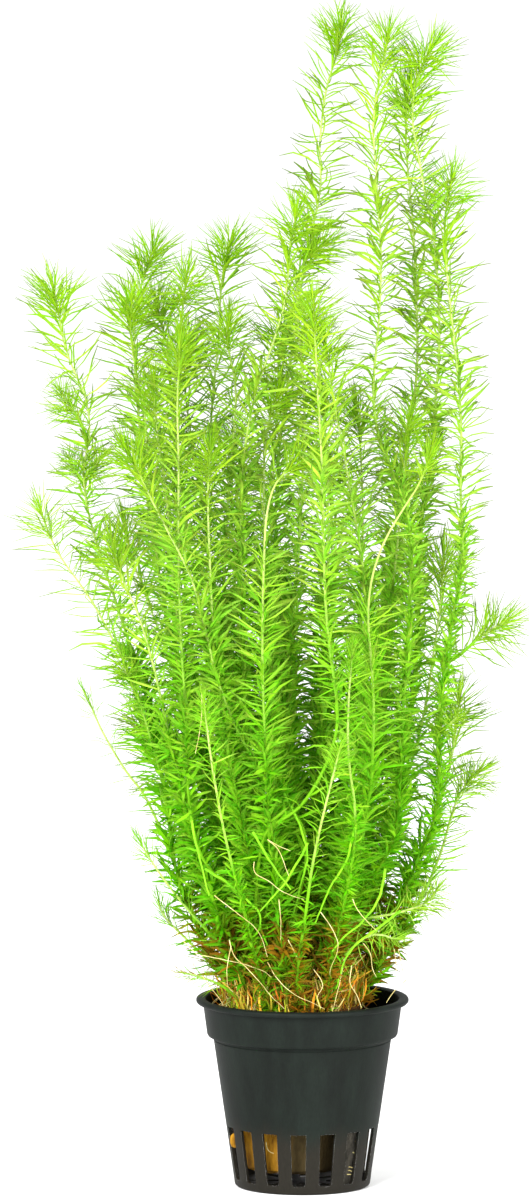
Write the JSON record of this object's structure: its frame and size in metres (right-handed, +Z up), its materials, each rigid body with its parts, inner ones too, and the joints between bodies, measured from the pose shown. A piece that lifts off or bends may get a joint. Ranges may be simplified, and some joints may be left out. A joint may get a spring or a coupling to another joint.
{
  "type": "potted stream bogmoss",
  "caption": "Upright aquarium stem plant with thread-like leaves in whorled tufts, rooted in a rock wool plug in a slotted plastic net pot.",
  "frame": {"origin": "centre of the pot's flat underside", "axes": "+Z up along the pot's axis; -Y towards the viewer of the picture, +X to the viewer's right"},
  "size_m": [0.1343, 0.1074, 0.3065],
  "materials": {
    "pot_plastic": "matte",
    "rock_wool": "matte",
    "old_growth": "matte",
    "foliage": "satin"
  },
  "bodies": {
    "root": {"pot": "pot_plastic", "rock_wool_plug": "rock_wool", "root_mat": "old_growth", "shoot_01": "foliage", "shoot_02": "foliage", "shoot_03": "foliage", "shoot_04": "foliage", "shoot_05": "foliage", "shoot_06": "foliage", "shoot_07": "foliage", "shoot_08": "foliage", "shoot_09": "foliage", "shoot_10": "foliage", "shoot_11": "foliage", "shoot_12": "foliage", "shoot_13": "foliage", "shoot_14": "foliage", "shoot_15": "foliage", "shoot_16": "foliage", "shoot_17": "foliage", "shoot_18": "foliage", "shoot_19": "foliage", "shoot_20": "foliage", "shoot_21": "foliage", "shoot_22": "foliage", "shoot_23": "foliage", "shoot_24": "foliage", "shoot_25": "foliage", "shoot_26": "foliage", "shoot_27": "foliage", "shoot_28": "foliage", "shoot_29": "foliage", "shoot_30": "foliage", "shoot_31": "foliage", "shoot_32": "foliage", "shoot_33": "foliage", "shoot_34": "foliage", "shoot_35": "foliage", "shoot_36": "foliage", "shoot_37": "foliage", "shoot_38": "foliage", "shoot_39": "foliage", "shoot_40": "foliage", "shoot_41": "foliage", "shoot_42": "foliage", "shoot_43": "foliage", "shoot_44": "foliage", "shoot_45": "foliage", "shoot_46": "foliage", "shoot_47": "foliage", "shoot_48": "foliage", "shoot_49": "foliage", "side_shoot_01": "foliage", "side_shoot_02": "foliage", "side_shoot_03": "foliage", "side_shoot_04": "foliage", "side_shoot_05": "foliage", "side_shoot_06": "foliage"}
  },
  "joints": []
}
